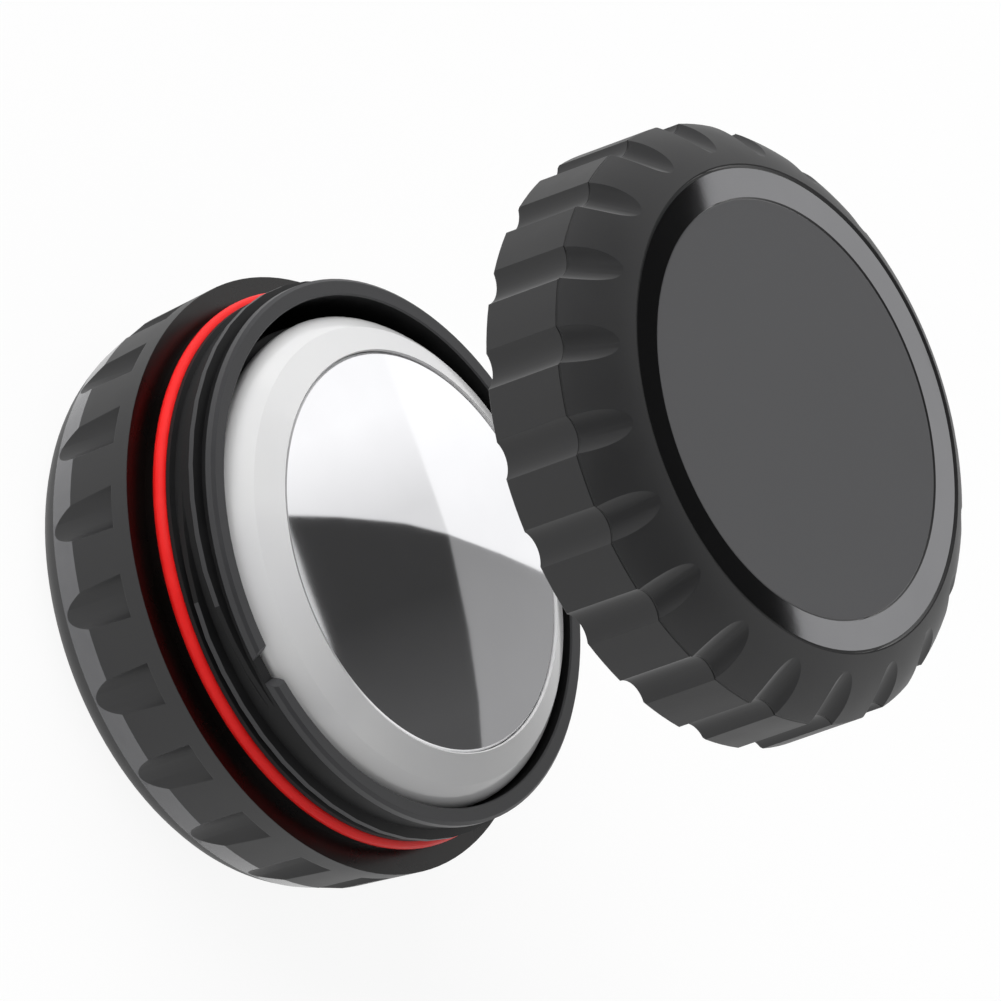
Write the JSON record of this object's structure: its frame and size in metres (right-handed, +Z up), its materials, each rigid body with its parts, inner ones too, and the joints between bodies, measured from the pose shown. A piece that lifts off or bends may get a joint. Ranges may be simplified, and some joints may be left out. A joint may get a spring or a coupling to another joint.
{
  "type": "tracker tag holder",
  "caption": "Round screw-cap holder, shown open: a scalloped base with a sealed threaded neck holds a white and steel tracking tag, and the scalloped cap hovers above.",
  "frame": {"origin": "middle of the underside of the base, on the screw axis", "axes": "+Z up along the screw axis, from the base to the cap; +X through the middle of one grip scallop of each half"},
  "size_m": [0.0388, 0.0388, 0.047],
  "materials": {
    "black_plastic": "fine matt moulded texture",
    "inner_plastic": "smooth matt moulding",
    "black_rubber": "matt",
    "grey_foam": "closed-cell foam, matt",
    "red_rubber": "smooth silicone",
    "glossy_ring": "polished",
    "satin_disc": "satin",
    "white_plastic": "polished white",
    "frame_plastic": "smooth moulding",
    "polished_steel": "mirror polished stainless steel",
    "cell_steel": "pressed nickel-plated steel",
    "yoke_steel": "plated steel",
    "magnet_metal": "nickel-plated sintered magnet",
    "copper": "bare copper",
    "gold_brass": "thin gold plating on spring brass",
    "board_laminate": "solder-masked glass laminate",
    "chip_resin": "moulded resin",
    "cell_filling": "pressed powder"
  },
  "bodies": {
    "base": {"base_body": "black_plastic", "foot_pad": "black_rubber", "seal_ring": "red_rubber", "cushion": "grey_foam"},
    "dish": {"tag_dish": "inner_plastic"},
    "liner": {"cap_liner": "grey_foam"},
    "cap": {"cap_body": "black_plastic", "cap_face_ring": "glossy_ring", "cap_face_disc": "satin_disc"},
    "tag": {"tag_shell": "white_plastic", "tag_frame": "frame_plastic", "antenna_traces": "copper", "circuit_board": "board_laminate", "board_chips": "chip_resin", "contact_centre": "gold_brass", "contacts_side": "gold_brass", "speaker_yoke": "yoke_steel", "speaker_magnet": "magnet_metal", "voice_coil": "copper"},
    "cover_gasket": {"cover_seal": "black_rubber"},
    "cover": {"tag_cover": "polished_steel", "cover_carrier": "frame_plastic"},
    "cell": {"cell_can": "cell_steel", "cell_cap": "cell_steel", "cell_gasket": "inner_plastic", "cell_core": "cell_filling"}
  },
  "joints": [
    {"name": "tag_press", "type": "slide", "parent": "base", "child": "dish", "axis": [0, 0, 1], "range_m": [-0.0029, 0], "deforming": ["cushion"]},
    {"name": "cap_lift", "type": "slide", "parent": "dish", "child": "liner", "axis": [0, 0, 1], "range_m": [-0.0257, 0]},
    {"name": "cap_turn", "type": "hinge", "parent": "liner", "child": "cap", "pos_m": [0, 0, 0.0381], "axis": [0, 0, 1], "range_deg": [-720, 0]},
    {"name": "tag_lift", "type": "slide", "parent": "dish", "child": "tag", "axis": [0, 0, 1], "range_m": [0, 0.008]},
    {"name": "cover_lift", "type": "slide", "parent": "tag", "child": "cover_gasket", "axis": [0, 0, 1], "range_m": [0, 0.01]},
    {"name": "cover_turn", "type": "hinge", "parent": "cover_gasket", "child": "cover", "pos_m": [0.0005, 0, 0.0166], "axis": [0, 0, 1], "range_deg": [-18, 0]},
    {"name": "cell_lift", "type": "slide", "parent": "tag", "child": "cell", "axis": [0, 0, 1], "range_m": [0, 0.005]}
  ],
  "couplings": [
    {"joint": "tag_press", "follows": "cap_turn", "m_per_rad": 0.00023077},
    {"joint": "cell_lift", "follows": "cover_lift", "ratio": 0.5}
  ]
}
